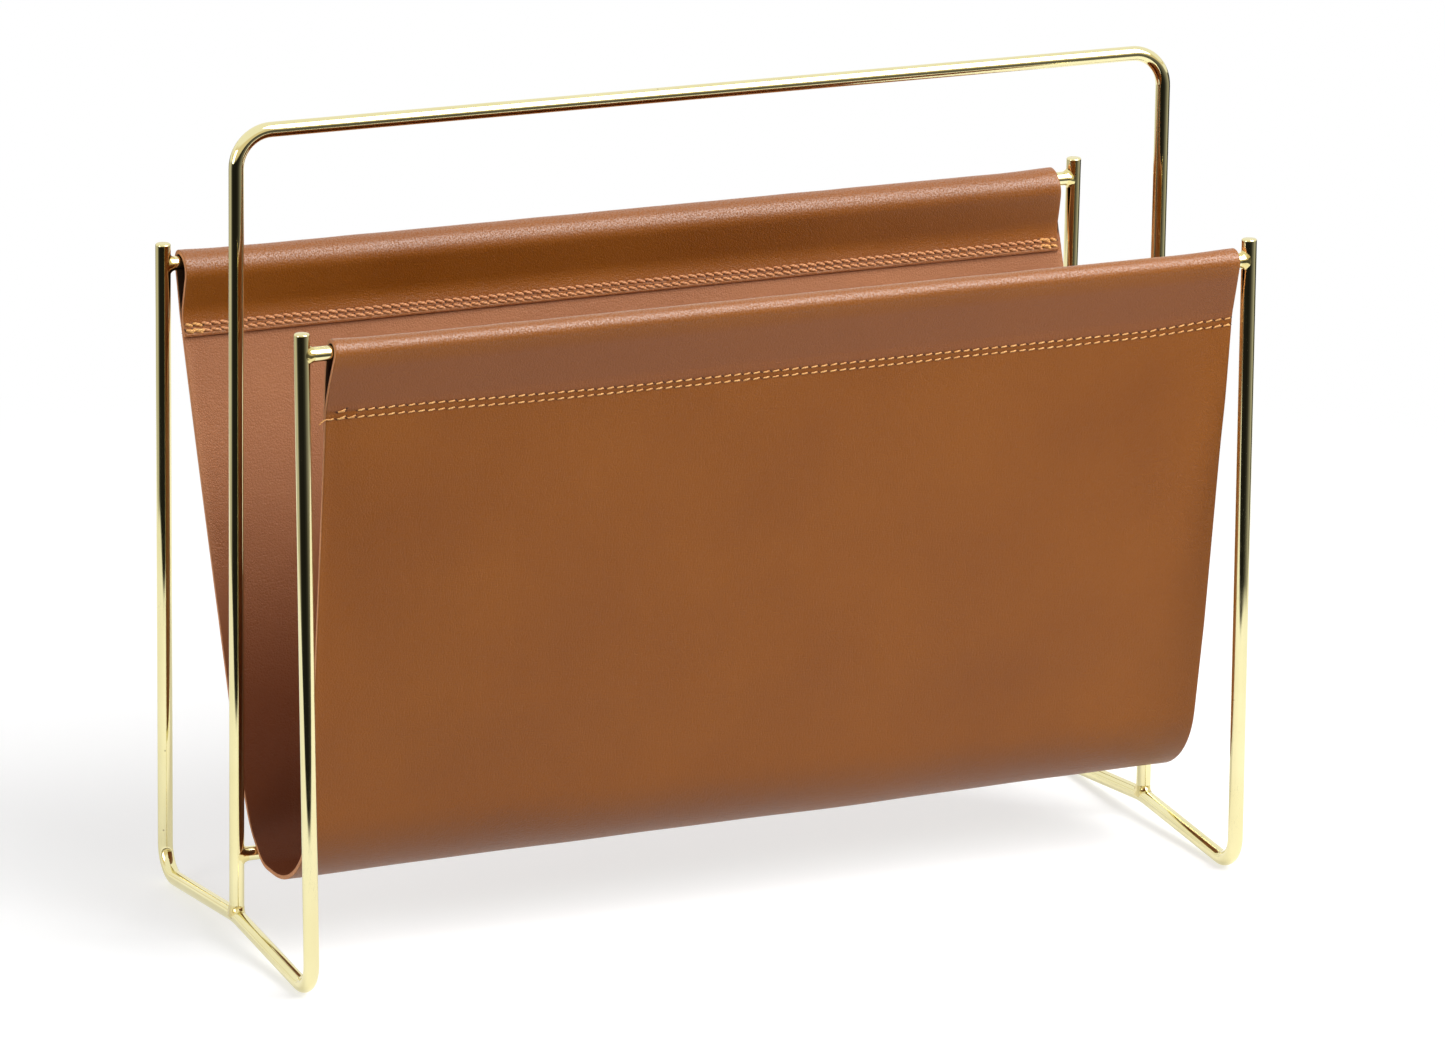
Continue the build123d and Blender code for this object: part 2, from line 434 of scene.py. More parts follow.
def waxed_thread(name, pale, deep, groove_tone):
    """Waxed thread, twisted from two plies. The ply lines run on the thread's own map."""
    material, tree, shader = new_finish(name, pale, Roughness=0.48)
    turn = add(tree, "UVMap", uv_map="thread_map").outputs[0]
    along, round_about = add(tree, "SeparateXYZ", {0: turn}).outputs[:2]
    lay = plus(tree, times(tree, along, 3.0), times(tree, round_about, 2.0))
    ply = calc(tree, "ABSOLUTE", calc(tree, "SINE", times(tree, lay, pi)))
    tone = blend_colours(tree, mottled(tree, on_object(tree), 300.0, 2.0), pale, deep)
    put_colour(tree, shader, blend_colours(tree, remap(tree, ply, 0.0, 0.5), groove_tone, tone))
    put_relief(tree, shader, ply, 0.7, 0.00015)
    return material


def needle_hole_shade():
    """Painted shade: the dark mouth of a needle hole, a small dark cone where the hole's shade shows."""
    dark = colour(44, 20, 9)
    material, tree, shader = new_finish("needle_hole_shade", dark, Roughness=0.8)
    cloud = mottled(tree, on_object(tree), 2500.0, 2.0)
    put_colour(tree, shader, blend_colours(tree, cloud, dark, colour(84, 42, 20)))
    return material


SCRATCH_TONE = colour(120, 96, 50)
# painted shade and painted sheen tones for the sheet: the pocket's depth, the front hem and the stitch
# rows
POCKET_SHADE_TONE = colour(114, 50, 8)
HEM_SHEEN_TONE = colour(136, 84, 58)
SEAM_SHADE_TONE = colour(92, 46, 16)

plated_wire = brass(
    "plated_wire", bright=colour(241, 233, 184), deep=colour(231, 221, 165),
    roughness=0.055, ripple=0.05, scratches=0.5,
)
plated_weld = brass(
    "plated_weld", bright=colour(240, 228, 166), deep=colour(214, 194, 124),
    roughness=0.09, ripple=0.35, scratches=1.0,
)
grain_side = leather(
    "leather_grain_side", tan_tone=colour(148, 84, 18), dark_tone=colour(133, 72, 12),
    worn_tone=colour(158, 94, 34), loop_shade_tone=None,
    roughness=0.36, pebbles=1250.0, creases=0.5, depth=0.00011,
)
flesh_side = leather(
    "leather_flesh_side", tan_tone=colour(172, 111, 71), dark_tone=colour(148, 90, 53),
    worn_tone=colour(186, 128, 88), loop_shade_tone=colour(44, 20, 8),
    roughness=0.52, pebbles=1050.0, creases=0.6, depth=0.00012,
)
cut_edge = cut_leather_edge()
thread = waxed_thread(
    "golden_thread", pale=colour(246, 194, 120), deep=colour(220, 152, 82), groove_tone=colour(160, 94, 42)
)
bobbin_thread = waxed_thread(
    "bobbin_thread", pale=colour(226, 160, 106), deep=colour(200, 134, 86), groove_tone=colour(136, 80, 44)
)
hole = needle_hole_shade()


# --- Wire frame ---


def bend_wire(corners, bends, diameter):
    """A round wire fed straight and bent at each corner in turn, as on a wire bender."""
    runs = [b - a for a, b in zip(corners, corners[1:])]
    turns = [a.angle(b) for a, b in zip(runs, runs[1:])]
    trims = [0, *[bend * tan(turn / 2) for bend, turn in zip(bends, turns)], 0]
    headings = [run.normalized() for run in runs]
    bm = bmesh.new()
    seat = moved(corners[0]) @ headings[0].to_track_quat("Z", "Y").to_matrix().to_4x4()
    bmesh.ops.create_circle(bm, cap_ends=True, radius=diameter / 2, segments=WIRE_SIDES, matrix=seat)
    rim = bm.edges[:]
    for i, run in enumerate(runs):
        straight = run.length - trims[i] - trims[i + 1]
        steps = max(1, ceil(straight / (30 * MM)))
        for _ in range(steps):
            rim = extend(bm, rim, moved(headings[i] * straight / steps))
        if i < len(turns):
            axis = headings[i].cross(headings[i + 1]).normalized()
            here = corners[i + 1] - headings[i] * trims[i + 1]
            centre = here + axis.cross(headings[i]) * bends[i]
            steps = max(6, ceil(turns[i] / radians(6)))
            for _ in range(steps):
                rim = extend(bm, rim, turn_about(centre, axis, turns[i] / steps))
    bmesh.ops.contextual_create(bm, geom=rim)
    face_outwards(bm)
    return bm


def round_cut_ends(bm, radius):
    """Takes the burr off both cut ends and leaves their faces slightly crowned."""
    caps = [face for face in bm.faces if len(face.verts) == WIRE_SIDES]
    rims = [edge for face in caps for edge in face.edges]
    bmesh.ops.bevel(bm, geom=rims, offset=radius, segments=5, profile=0.5, affect="EDGES", material=-1)
    for cap in [face for face in bm.faces if len(face.verts) == WIRE_SIDES]:
        bmesh.ops.inset_region(bm, faces=[cap], thickness=radius * 0.9)
        bmesh.ops.translate(bm, verts=cap.verts[:], vec=cap.normal * radius * 0.16)


half_corner = (pi / 2 - LEG_LEAN - BASE_SLOPE) / 2
corner_lift = CORNER_BEND * (sin(BASE_SLOPE + half_corner) / sin(half_corner) - 1)
CORNER_Z = LEG_WIRE / 2 - corner_lift
FOOT_Y = ROD_Y + (ROD_Z - CORNER_Z) * tan(LEG_LEAN)
LEG_TOP_Y = ROD_Y - (LEG_HEIGHT - ROD_Z) * tan(LEG_LEAN)
APEX_Z = CORNER_Z + FOOT_Y * tan(BASE_SLOPE)
BASE_MIDDLE_Z = APEX_Z - MIDDLE_BEND * (1 / cos(BASE_SLOPE) - 1)


def finish_wire(name, bm):
    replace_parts(finished(name + "_wire", bm, "frame", "brass_wire", plated_wire), name)


def make_end_frame(name, side):
    x = side * HALF_LENGTH
    corners = [
        Vector((x + (FRONT_LEFT_SET if side < 0 else 0), -LEG_TOP_Y, LEG_HEIGHT)),
        Vector((x, -FOOT_Y, CORNER_Z)),
        Vector((x, 0, APEX_Z)),
        Vector((x, FOOT_Y, CORNER_Z)),
        Vector((x, LEG_TOP_Y, LEG_HEIGHT)),
    ]
    bm = bend_wire(corners, [CORNER_BEND, MIDDLE_BEND, CORNER_BEND], LEG_WIRE)
    round_cut_ends(bm, LEG_END_ROUND)
    finish_wire(name, bm)


def make_hoop():
    corners = [
        Vector((-HALF_LENGTH, 0, BASE_MIDDLE_Z)),
        Vector((-HALF_LENGTH + HOOP_LEFT_SET, 0, HOOP_HEIGHT)),
        Vector((HALF_LENGTH, 0, HOOP_HEIGHT)),
        Vector((HALF_LENGTH, 0, BASE_MIDDLE_Z)),
    ]
    finish_wire("carrying_hoop", bend_wire(corners, [HOOP_BEND, HOOP_BEND], HOOP_WIRE))


def make_rod(name, y, z):
    corners = [Vector((-HALF_LENGTH, y, z)), Vector((HALF_LENGTH, y, z))]
    finish_wire(name, bend_wire(corners, [], ROD_WIRE))


def saddle_weld(bm, spot, along, across, carrier, branch, reach, sides, seed):
    """The weld metal where a branch wire stands on a carrier wire: a saddle that flares up and down the
    carrier, thin at its sides, and a little lumpy. along leaves the carrier down the branch."""
    up = along.cross(across)
    seat = moved(spot) @ facing(across, up, along)
    toe = carrier + reach
    tucked = branch - WELD_TUCK
    start = seat @ moved((0, 0, toe))
    made = bmesh.ops.create_circle(bm, cap_ends=True, radius=tucked, segments=WELD_SIDES, matrix=start)
    rim = list({e for v in made["verts"] for e in v.link_edges})
    rows = [made["verts"]]
    for _ in range(WELD_RINGS):
        rim = extend(bm, rim, Matrix.Identity(4))
        rows.append(list({vert for edge in rim for vert in edge.verts}))
    bmesh.ops.contextual_create(bm, geom=rim)
    back = seat.inverted()
    for level, row in enumerate(rows):
        share = level / WELD_RINGS
        for vert in row:
            local = back @ vert.co
            angle = atan2(local.y, local.x)
            flare = sides + (reach - sides) * sin(angle) ** 2
            swell = tucked + (flare + 2 * WELD_TUCK) * (1 - cos(share * pi / 2)) ** 1.25
            spread_x, spread_y = swell * cos(angle), swell * sin(angle)
            inside = max(carrier ** 2 - spread_x ** 2, 0) ** 0.5 - WELD_SINK
            height = inside + (toe - inside) * (1 - sin(share * pi / 2))
            lump = noise.noise(Vector((spread_x, spread_y, height)) * 620 + Vector((seed, 0, 0)))
            puff = 1 + 0.085 * lump * sin(share * pi) + 0.05 * sin(share * pi)
            vert.co = seat @ Vector((spread_x * puff, spread_y * puff, height))
    skin = list({face for row in rows for vert in row for face in vert.link_faces})
    bmesh.ops.recalc_face_normals(bm, faces=skin)
    branch_cap = next(face for face in skin if set(face.verts) == set(rows[0]))
    if branch_cap.normal.dot(along) < 0:
        bmesh.ops.reverse_faces(bm, faces=skin)


def make_welds(name, joints):
    bm = bmesh.new()
    for number, joint in enumerate(joints):
        saddle_weld(bm, *joint, seed=7 * number + len(name))
    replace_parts(finished(name + "_metal", bm, "frame", "brass_wire", plated_weld), name)


def make_frame():
    make_end_frame("left_end_frame", -1)
    make_end_frame("right_end_frame", 1)
    make_hoop()
    make_rod("front_top_rod", -ROD_Y, ROD_Z)
    make_rod("rear_top_rod", ROD_Y, ROD_Z)
    make_rod("bottom_rod", 0, BOTTOM_ROD_Z)
    leg, hoop, rod = LEG_WIRE / 2, HOOP_WIRE / 2, ROD_WIRE / 2
    for name, y, z, carrier, left_lean in (
        ("front_rod_welds", -ROD_Y, ROD_Z, leg, FRONT_LEFT_SET / LEG_HEIGHT),
        ("rear_rod_welds", ROD_Y, ROD_Z, leg, 0),
        ("bottom_rod_welds", 0, BOTTOM_ROD_Z, hoop, HOOP_LEFT_SET / HOOP_HEIGHT),
    ):
        joints = []
        for side in ENDS:
            spot = Vector((side * HALF_LENGTH + (left_lean * z if side < 0 else 0), y, z))
            joints.append((spot, Vector((-side, 0, 0)), Vector((0, side, 0)), carrier, rod, *ROD_WELD))
        make_welds(name, joints)
    feet = []
    for side in ENDS:
        spot = Vector((side * HALF_LENGTH, 0, BASE_MIDDLE_Z))
        feet.append((spot, Vector((0, 0, 1)), Vector((1, 0, 0)), leg, hoop, *FOOT_WELD))
    make_welds("hoop_foot_welds", feet)


# --- Leather sling ---

# The sheet runs past a row of rounds, seen from the right end with Y across and Z up. A round is its
# centre and its radius, above zero where the sheet turns left round it.


def heading_between(first, second):
    (start, turn_in), (end, turn_out) = first, second
    gap = end - start
    return atan2(gap.y, gap.x) - asin((turn_out - turn_in) / gap.length)


def eased(before, corner, after, radius):
    """The round that eases a corner between two others."""
    heading = heading_between(before, (corner, 0))
    turn = (heading_between((corner, 0), after) - heading + pi) % (2 * pi) - pi
    middle = heading + turn / 2
    radius = copysign(radius, turn)
    return corner + Vector((-sin(middle), cos(middle))) * radius / cos(turn / 2), radius


class Hem:
    """Where a hem's two layers lie, below its rod."""

    def __init__(self, side, seam, panel):
        self.rod = (Vector((side * ROD_Y, ROD_Z)), LOOP_RADIUS)
        self.seam, self.down = seam, (panel - seam).normalized()
        self.inward = Vector((-self.down.y, self.down.x)) * -side

    def flap(self, drop):
        """A point on the folded layer, this far below the rod."""
        return self.seam + self.down * (drop - SEAM_DROP) / -self.down.y + self.inward * LEATHER


front_hem = Hem(-1, FRONT_SEAM, FRONT_BEND)
rear_hem = Hem(1, REAR_SEAM, REAR_BEND)


def sheet_rounds():
    """The rounds from the front flap's edge to the rear flap's."""
    slope = Vector((cos(REST_SLOPE), sin(REST_SLOPE)))
    rest = Vector((0, BOTTOM_ROD_Z)) + Vector((-slope.y, slope.x)) * LOOP_RADIUS
    toe = rest - slope * (rest.y - BELLY_CORNER.y) / slope.y
    heel = rest + slope * REST_RUN
    edge = (front_hem.flap(FLAP_DROPS["front"]), 0)
    rounds = [edge, eased(edge, front_hem.flap(SEAM_DROP), front_hem.rod, SEAM_BEND), front_hem.rod]
    corners = [
        (front_hem.seam, SEAM_BEND),
        (FRONT_BEND, PANEL_BEND),
        (BELLY_CORNER, 37 * MM),
        (toe, 14 * MM),
        (heel, 30 * MM),
        (REAR_BEND, PANEL_BEND),
        (rear_hem.seam, SEAM_BEND),
    ]
    around = [front_hem.rod, *[(corner, 0) for corner, _ in corners], rear_hem.rod]
    for i, (corner, radius) in enumerate(corners):
        rounds.append(eased(around[i], corner, around[i + 2], radius))
    # the rear loop hangs slack in front of its rod
    slack = (rear_hem.rod[0] - Vector((0, REAR_LOOP_FRONT - LOOP_RADIUS + 0.05 * MM)), REAR_LOOP_FRONT)
    tip = (rear_hem.flap(FLAP_DROPS["rear"]), 0)
    rounds += [rear_hem.rod, slack, eased(slack, rear_hem.flap(SEAM_DROP), tip, SEAM_BEND), tip]
    return rounds


class Route:
    """The sheet's line as straight runs and turns, and any place along it."""

    def __init__(self, rounds):
        self.moves, self.start = [], rounds[0][0]
        headings = [heading_between(a, b) for a, b in zip(rounds, rounds[1:])]
        self.heading = headings[0]
        for i, (a, b) in enumerate(zip(rounds, rounds[1:])):
            run = ((b[0] - a[0]).length_squared - (b[1] - a[1]) ** 2) ** 0.5
            turn = 0.0
            if b[1]:
                change = headings[i + 1] - headings[i]
                turn = copysign((copysign(1, b[1]) * change) % (2 * pi), b[1])
            self.moves.append((run, turn, b[1]))
        self.length = sum(run + turn * radius for run, turn, radius in self.moves)

    def at(self, reach):
        """(point, heading) this far along the sheet."""
        place, heading = self.start, self.heading
        for run, turn, radius in self.moves:
            ahead = Vector((cos(heading), sin(heading)))
            if reach <= run:
                return place + ahead * reach, heading
            place, reach = place + ahead * run, reach - run
            left = Vector((-ahead.y, ahead.x)) * radius
            arc = turn * radius
            part = min(1.0, reach / arc) if arc else 0.0
            angle = turn * part
            swung = Matrix.Rotation(angle, 2) @ -left
            if reach < arc:
                return place + left + swung, heading + angle
            place, heading, reach = place + left + swung, heading + angle, reach - arc
        return place, heading


route = Route(sheet_rounds())


def nearest_reach(target):
    """How far along the sheet the nearest place to a point lies."""

    def gap(reach):
        return (route.at(reach)[0] - target).length

    low, step = 0.0, route.length / 300
    for _ in range(3):
        near = min((low + step * i for i in range(301)), key=gap)
        low, step = near - step, step / 150
    return near


HEMS = {"front": front_hem, "rear": rear_hem}
LOOPS = {name: nearest_reach(hem.rod[0] + Vector((0, LOOP_RADIUS))) for name, hem in HEMS.items()}


def row_places():
    """Where each row starts on the flat sheet, on both layers of its hem, and which way is down there."""
    places = {}
    for (hem_name, row), (drop, _) in ROW_DROPS.items():
        hem = HEMS[hem_name]
        folded = nearest_reach(hem.flap(drop))
        outside = nearest_reach(hem.flap(drop) - hem.inward * LEATHER)
        downward = 1 if hem_name == "front" else -1
        places[hem_name, row, "outer"] = (outside, downward)
        places[hem_name, row, "inner"] = (folded, -downward)
    return places


ROWS = row_places()


def row_reach(hem_name, row, face, x):
    """The row's place at x: it starts level with the sheet's ends and wanders down in between."""
    reach, downward = ROWS[hem_name, row, face]
    half = SHEET_WIDTH / 2
    settled = smooth((x + half) / (150 * MM)) * smooth((half - x) / (48 * MM))
    sway = noise.noise(Vector((x * 22, reach * 300, 9))) * 0.35 * MM
    return reach + downward * (ROW_DROPS[hem_name, row][1] * settled + sway)


def shape_of_sheet(x, reach):
    """Where a point of the flat sheet ends up, with the small unevenness of real leather."""
    point, heading = route.at(reach)
    outward = Vector((sin(heading), -cos(heading)))
    half = SHEET_WIDTH / 2
    below_front, below_rear = reach - LOOPS["front"], LOOPS["rear"] - reach
    front_roll, rear_roll = bell(below_front, ROLL_REACH), bell(below_rear, ROLL_REACH)
    near_left, near_right = bell(x + half, END_REACH), bell(x - half, END_REACH)
    # askew: the hems sit a millimetre apart along their rods
    shift = ASKEW * cos(pi * clamped((reach / route.length - 0.1) / 0.8))
    shift += (FRONT_RUN_OUT[0] * near_left + FRONT_RUN_OUT[1] * near_right) * front_roll
    shift -= (REAR_RUN_OUT[0] * near_left + REAR_RUN_OUT[1] * near_right) * rear_roll
    # the right end of each panel runs out a little below its roll
    for below, hem_name in ((below_front, "front"), (below_rear, "rear")):
        off_middle = max(0, abs(below - PANEL_RUN_OUT_DROP) - 22 * MM)
        shift += PANEL_RUN_OUTS[hem_name] * bell(x - half, 40 * MM) * bell(off_middle, 14 * MM)
    # panels: slow waves, still where the sheet is held
    free = min(1, abs(below_front) / HELD_REACH, abs(below_rear) / HELD_REACH)
    wave = noise.noise(Vector((x * 9, reach * 6, 3.1))) * 0.7
    wave += noise.noise(Vector((x * 26, reach * 17, 8.4))) * 0.25
    lift = wave * MM * free ** 2
    # rolls: a little loose at their ends, and pulled in along the seams
    roll = max(front_roll, rear_roll)
    ripple = 0.12 * MM * noise.noise(Vector((x * 60, 0, 5)))
    lift += (LOOSE_END * (near_left + near_right) + ripple) * roll
    lift -= ROLL_PULL * roll * (1 - near_left) * (1 - near_right)
    lift -= STITCH_PULL * max(bell(reach - row_reach(*row, x), 1.0 * MM) for row in ROWS)
    lift += TIP_CURL * bell(route.length - reach, 1.3 * MM)
    point = point + outward * lift
    return Vector((x + shift, point.x, point.y)), outward


def row_spacing(reach):
    """The mesh is fine along the seams and on the rolls, and coarse on the panels."""
    near_row = min(abs(reach - place) for place, _ in ROWS.values())
    near_loop = min(abs(reach - LOOPS["front"]), abs(reach - LOOPS["rear"]))
    if near_row < 4.5 * MM:
        return 0.7 * MM
    return 1.6 * MM if near_loop < 30 * MM else 4.0 * MM


def column_spacing(x):
    """Fine at both ends of the sheet, where it runs out."""
    from_end = SHEET_WIDTH / 2 - max(abs(x), abs(x + MM))
    return 1.0 * MM if from_end < 10 * MM - TINY else 4.0 * MM


def wear_and_painted_light_at(x, reach, height):
    """How strongly each worn tone, the gloss, painted shade and painted sheen show at a place of the
    sheet, from 0 to 1.
    """
    past_front, past_rear = reach - LOOPS["front"], reach - LOOPS["rear"]
    crest = max(bell(past_front, 7 * MM), bell(past_rear, 7 * MM))
    side = bell(SHEET_WIDTH / 2 - abs(x), 2.5 * MM)
    hidden = clamped((33 * MM - min(abs(past_front), abs(past_rear))) / (3 * MM))
    # painted sheen: the doubled hem, between the front roll and its upper row, is painted a little greyer
    # for the reflection it catches
    under_roll = clamped((past_front - 10 * MM) / (4 * MM))
    over_seam = clamped((row_reach("front", "upper", "outer", x) - reach) / (0.8 * MM))
    return {
        "rubbed": min(1, 0.8 * crest + 0.6 * side),
        # painted shade inside the loops, between the seams
        "painted_loop_shade": 0.94 * hidden,
        # painted shade, darker towards the pocket's bottom
        "pocket": 0.95 * smooth((200 * MM - height) / (130 * MM)),
        "polished": max(bell(past_front - 2 * MM, 6 * MM), bell(past_rear - 4 * MM, 9 * MM)),
        # painted shade along the stitch rows
        "painted_seam_shade": max(bell(reach - row_reach(*row, x), 0.8 * MM) for row in ROWS),
        # painted sheen on the doubled front hem
        "painted_hem_sheen": under_roll * over_seam,
    }


def make_sling():
    """The whole sheet in one piece: flap, loop, front panel, pocket, rear panel, loop and flap."""
    half = SHEET_WIDTH / 2
    bm = bmesh.new()
    # besides the worn crests and the gloss, the sheet carries painted shade in its loops, pocket and
    # seams, and a painted sheen on the front hem
    kinds = ("rubbed", "painted_loop_shade", "pocket", "polished", "painted_seam_shade", "painted_hem_sheen")
    layers = {kind: bm.verts.layers.float.new(kind) for kind in kinds}
    flat_cut = bm.loops.layers.uv.new("flat_cut")
    first = bmesh.ops.create_vert(bm, co=(-half, route.start.x, route.start.y))["vert"][0]
    rim, tip, x = [], first, -half
    while x < half - TINY:
        step = min(half - x, column_spacing(x))
        made = bmesh.ops.extrude_vert_indiv(bm, verts=[tip])
        tip, x = made["verts"][0], x + step
        bmesh.ops.translate(bm, verts=[tip], vec=(step, 0, 0))
        rim += made["edges"]
    spread = {vert: (vert.co.x, 0.0) for vert in bm.verts}
    reach, place, heading = 0.0, route.start, route.heading
    for run, turn, radius in route.moves:
        ahead = Vector((cos(heading), sin(heading)))
        steps = []
        left_over, along = run, reach
        while left_over > TINY:
            step = row_spacing(along)
            if left_over < step + 0.5 * MM:
                step = left_over
            steps.append((step, moved((0, ahead.x * step, ahead.y * step))))
            left_over, along = left_over - step, along + step
        place = place + ahead * run
        if turn:
            centre = place + Vector((-ahead.y, ahead.x)) * radius
            arc = turn * radius
            count = max(3, ceil(abs(turn) / radians(9)), ceil(arc / row_spacing(reach + run)))
            pivot = Vector((0, centre.x, centre.y))
            steps += [(arc / count, turn_about(pivot, Vector((1, 0, 0)), turn / count))] * count
            place = centre + Matrix.Rotation(turn, 2) @ (place - centre)
            heading += turn
        for step, move in steps:
            rim = extend(bm, rim, move)
            reach += step
            for vert in {vert for edge in rim for vert in edge.verts}:
                spread[vert] = (vert.co.x, reach)
    face_outwards(bm)
    lowest = min(bm.faces, key=lambda face: face.calc_center_median().z)
    if lowest.normal.z > 0:
        bmesh.ops.reverse_faces(bm, faces=bm.faces[:])
    for vert, (x, reach) in spread.items():
        vert.co = shape_of_sheet(x, reach)[0]
        for kind, strength in wear_and_painted_light_at(x, reach, vert.co.z).items():
            vert[layers[kind]] = strength
    for face in bm.faces:
        for corner in face.loops:
            corner[flat_cut].uv = spread[corner.vert]
    sling = finished("leather_sling_sheet", bm, "sling", "leather", grain_side, flesh_side, cut_edge)
    skin = sling.modifiers.new("thickness", "SOLIDIFY")
    skin.thickness, skin.offset = LEATHER, 0.0
    skin.material_offset, skin.material_offset_rim = 1, 2
    skin.use_even_offset = True
    edge = sling.modifiers.new("burnished_edge", "BEVEL")
    edge.width, edge.segments = EDGE_ROUND, 2
    edge.limit_method, edge.angle_limit = "ANGLE", radians(50)
    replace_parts(sling, "leather_sling")
    return sling


def stitch_pattern(length, thick, rise, dip, mouth_size, thread_slot):
    """One stitch, along X: a thread that comes up from its needle hole, lies on the leather and dives
    again, with a dark cone of painted shade at the mouth of both holes."""
    bm = bmesh.new()
    thread_map = bm.loops.layers.uv.new("thread_map")
    rings, sides = 7, 8
    upright = Matrix.Rotation(pi / 2, 4, "Y")
    made = bmesh.ops.create_circle(bm, cap_ends=True, radius=thick, segments=sides, matrix=upright)
    rim, rows = bm.edges[:], [made["verts"]]
    for _ in range(rings - 1):
        rim = extend(bm, rim, Matrix.Identity(4))
        rows.append(list({vert for edge in rim for vert in edge.verts}))
    bmesh.ops.contextual_create(bm, geom=rim)
    where = {}
    for level, row in enumerate(rows):
        along = level / (rings - 1) * 2 - 1
        fat = 1 - abs(along) ** 3.5 * 0.55
        for vert in row:
            where[vert] = ((along + 1) / 2, atan2(vert.co.y, -vert.co.z) / (2 * pi))
            vert.co = (along * length / 2, vert.co.y * fat, vert.co.z * fat + rise - dip * abs(along) ** 3)
    for face in bm.faces:
        face.material_index = thread_slot
        turns = [where[corner.vert][1] for corner in face.loops]
        wrapped = max(turns) - min(turns) > 0.5
        for corner in face.loops:
            u, v = where[corner.vert]
            corner[thread_map].uv = (u, v + 1 if wrapped and v < 0 else v)
    face_outwards(bm)
    # painted shade: a dark cone at the mouth of each needle hole
    for end in ENDS:
        spot = (end * (length / 2 + 0.1 * MM), mouth_size * 0.25, 0.03 * MM)
        mouth = moved(spot) @ Matrix.Diagonal((1.4, 0.85, 1, 1))
        sizes = {"radius1": mouth_size, "radius2": mouth_size * 0.6, "depth": 0.1 * MM}
        made = bmesh.ops.create_cone(bm, cap_ends=True, segments=8, matrix=mouth, **sizes)
        for face in {face for vert in made["verts"] for face in vert.link_faces}:
            face.material_index = HOLE_SLOT
    return to_mesh("stitch_pattern", bm)


def lay(bm, pattern, spot, along, out, longer=1.0):
    """Copies the stitch pattern to its place on the leather."""
    first = len(bm.verts)
    bm.from_mesh(pattern)
    bm.verts.ensure_lookup_table()
    seat = moved(spot) @ facing(along, out.cross(along), out)
    for vert in bm.verts[first:]:
        vert.co = seat @ Vector((vert.co.x * longer, vert.co.y, vert.co.z))


def make_stitch_row(hem_name, row):
    """A row of stitches on the outer face of a hem, and its other side on the folded flap."""
    bm = bmesh.new()
    bm.loops.layers.uv.new("thread_map")
    count = STITCH_COUNTS[hem_name]
    pitch = (SHEET_WIDTH - 2 * ROW_INSET) / (count - 1)
    outer = {"length": OUTER_STITCH, "thick": OUTER_THREAD, "rise": 0.16 * MM, "dip": 0.50 * MM}
    outer["mouth_size"] = (0.42 if row == "upper" else 0.30) * MM
    inner = {"length": INNER_STITCH, "thick": INNER_THREAD, "rise": 0.28 * MM, "dip": 0.70 * MM}
    inner["mouth_size"] = 0.46 * MM
    looks = {
        "outer": (outer, STITCH_SLANT, (THREAD_SLOT, THREAD_SLOT)),
        "inner": (inner, -STITCH_SLANT * 1.7, (BOBBIN_SLOT, THREAD_SLOT)),
    }
    for face, (sizes, slant, slots) in looks.items():
        line = (hem_name, row, face)
        patterns = [stitch_pattern(thread_slot=slot, **sizes) for slot in slots]
        for i in range(count):
            # counted from the left end of each hem as its stitched face is seen
            from_left, from_right = (i, count - 1 - i) if hem_name == "front" else (count - 1 - i, i)
            if face == "outer" and row == "upper" and from_left in (0, 2):
                continue
            back_tacked = from_left == 1 or row == "lower" and (from_left == 2 or from_right < 2)
            x = i * pitch + ROW_INSET - SHEET_WIDTH / 2
            jitter = noise.noise(Vector((i * 1.7, ROWS[line][0] * 900, 2)))
            centre, out = shape_of_sheet(x, row_reach(*line, x))
            ahead, _ = shape_of_sheet(x + MM, row_reach(*line, x + MM))
            out = Vector((0, out.x, out.y))
            along = (ahead - centre).normalized()
            along = (along - out * along.dot(out)).normalized()
            spot = centre + out * (LEATHER / 2)
            inward = 1 if i < count / 2 else -1
            last = i in (0, count - 1)
            held_in = last and face == "inner"
            spot += along * inward * (0.3 * MM if held_in else 0)
            longer = 1 + 0.06 * jitter + 0.1 * back_tacked - (0.25 if held_in else 0.1 * last)
            for number in range(2 if back_tacked else 1):
                swing = slant + jitter * radians(5) + (radians(9) * (2 * number - 1) if back_tacked else 0)
                way = Matrix.Rotation(swing, 3, out) @ along
                nudge = way * inward * 0.5 * MM + out.cross(way) * 0.25 * MM + out * 0.18 * MM
                pattern = patterns[min(from_left, from_right) < 2]
                lay(bm, pattern, spot + nudge * number, way, out, longer)
        for pattern in patterns:
            bpy.data.meshes.remove(pattern)
    name = f"{hem_name}_{row}_stitches"
    stitches = finished(name + "_thread", bm, "sling", "thread", thread, hole, bobbin_thread)
    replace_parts(stitches, name)
    return stitches


